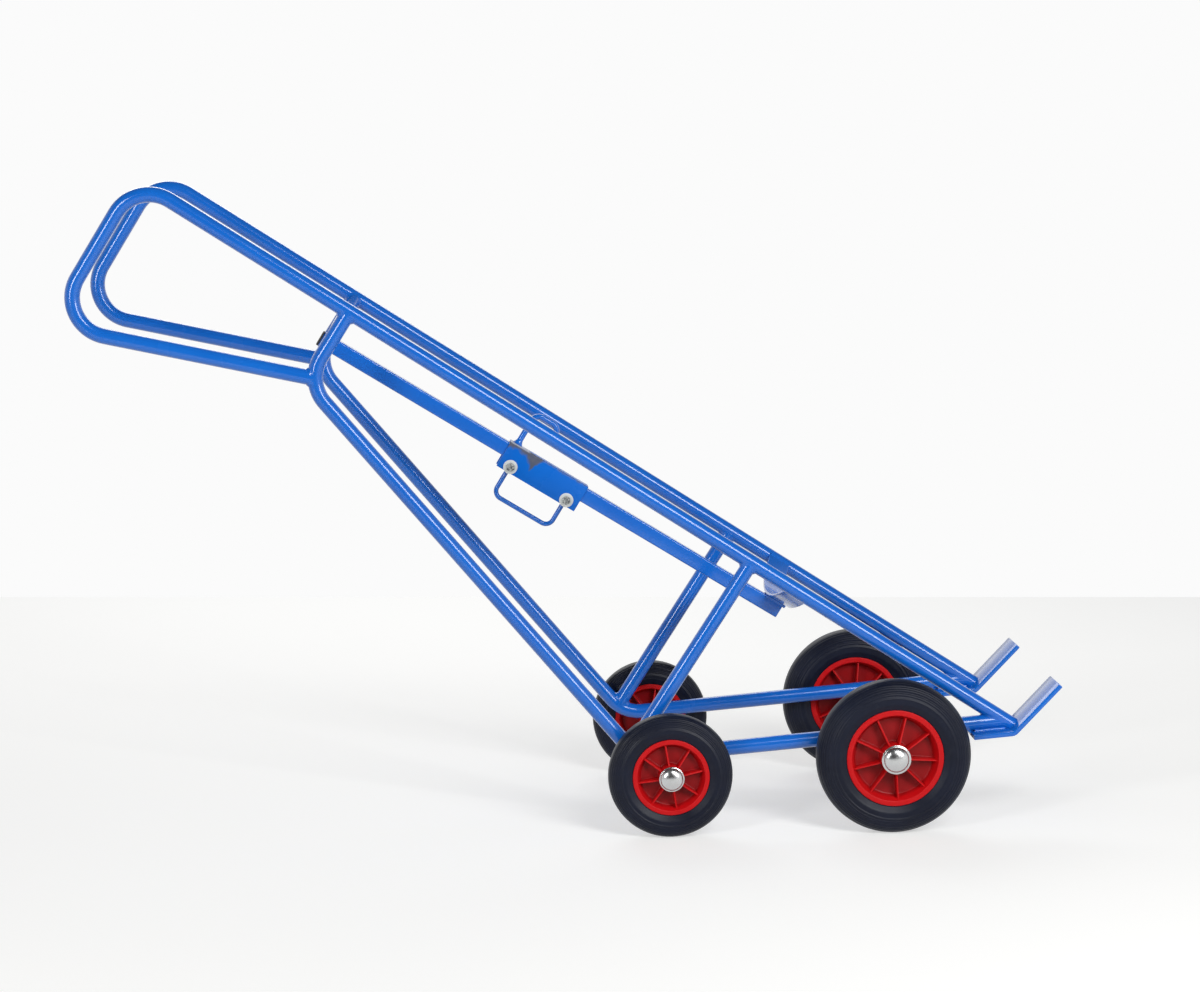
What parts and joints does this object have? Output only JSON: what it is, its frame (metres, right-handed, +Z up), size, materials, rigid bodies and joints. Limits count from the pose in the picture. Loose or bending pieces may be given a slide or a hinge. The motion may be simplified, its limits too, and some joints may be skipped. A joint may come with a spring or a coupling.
{
  "type": "drum trolley",
  "caption": "Wheeled drum trolley with a reclined tubular frame, looped handles, toe prongs, a curved cradle and a sliding hook for the drum's rim.",
  "frame": {"origin": "middle of the footprint of the whole trolley, on the floor under the wheels", "axes": "+X towards the toe prongs, +Y to the trolley's left, +Z up"},
  "size_m": [1.6041, 0.5246, 1.0568],
  "materials": {
    "blue_paint": "gloss",
    "red_plastic": "satin",
    "tyre_rubber": "matt",
    "bright_cap": "polished",
    "bright_steel": "turned",
    "zinc": "zinc plated",
    "black_plastic": "matt"
  },
  "bodies": {
    "frame": {"left_main_tube": "blue_paint", "left_leg_tube": "blue_paint", "left_strut": "blue_paint", "left_toe_prong": "blue_paint", "right_main_tube": "blue_paint", "right_leg_tube": "blue_paint", "right_strut": "blue_paint", "right_toe_prong": "blue_paint", "lower_cradle_strap": "blue_paint", "upper_cross_tube": "blue_paint", "hook_rail": "blue_paint", "rail_end_plug": "black_plastic", "front_axle": "bright_steel", "front_axle_lugs": "blue_paint", "front_axle_collars": "bright_steel", "front_axle_washers": "zinc", "front_axle_caps": "bright_cap", "rear_axle": "bright_steel", "rear_axle_lugs": "blue_paint", "rear_axle_collars": "bright_steel", "rear_axle_washers": "zinc", "rear_axle_caps": "bright_cap"},
    "front_left_wheel": {"front_left_wheel_centre": "red_plastic", "front_left_tyre": "tyre_rubber", "front_left_roller_bearing": "bright_steel"},
    "front_right_wheel": {"front_right_wheel_centre": "red_plastic", "front_right_tyre": "tyre_rubber", "front_right_roller_bearing": "bright_steel"},
    "rear_left_wheel": {"rear_left_wheel_centre": "red_plastic", "rear_left_tyre": "tyre_rubber", "rear_left_roller_bearing": "bright_steel"},
    "rear_right_wheel": {"rear_right_wheel_centre": "red_plastic", "rear_right_tyre": "tyre_rubber", "rear_right_roller_bearing": "bright_steel"},
    "carriage": {"hook_carriage": "blue_paint", "drum_hook": "blue_paint", "pull_handle": "blue_paint", "carriage_sleeves": "bright_steel", "carriage_bolts": "zinc", "carriage_washers": "zinc", "carriage_nuts": "zinc"}
  },
  "joints": [
    {"name": "front_left_wheel_spin", "type": "hinge", "parent": "frame", "child": "front_left_wheel", "pos_m": [0.5205, 0.2195, 0.127], "axis": [0, 1, 0], "continuous": true},
    {"name": "front_right_wheel_spin", "type": "hinge", "parent": "frame", "child": "front_right_wheel", "pos_m": [0.5205, -0.2195, 0.127], "axis": [0, 1, 0], "continuous": true},
    {"name": "rear_left_wheel_spin", "type": "hinge", "parent": "frame", "child": "rear_left_wheel", "pos_m": [0.1555, 0.2195, 0.1015], "axis": [0, 1, 0], "continuous": true},
    {"name": "rear_right_wheel_spin", "type": "hinge", "parent": "frame", "child": "rear_right_wheel", "pos_m": [0.1555, -0.2195, 0.1015], "axis": [0, 1, 0], "continuous": true},
    {"name": "carriage_slide", "type": "slide", "parent": "frame", "child": "carriage", "axis": [-0.8517, 0, 0.524], "range_m": [-0.343, 0.32]}
  ]
}
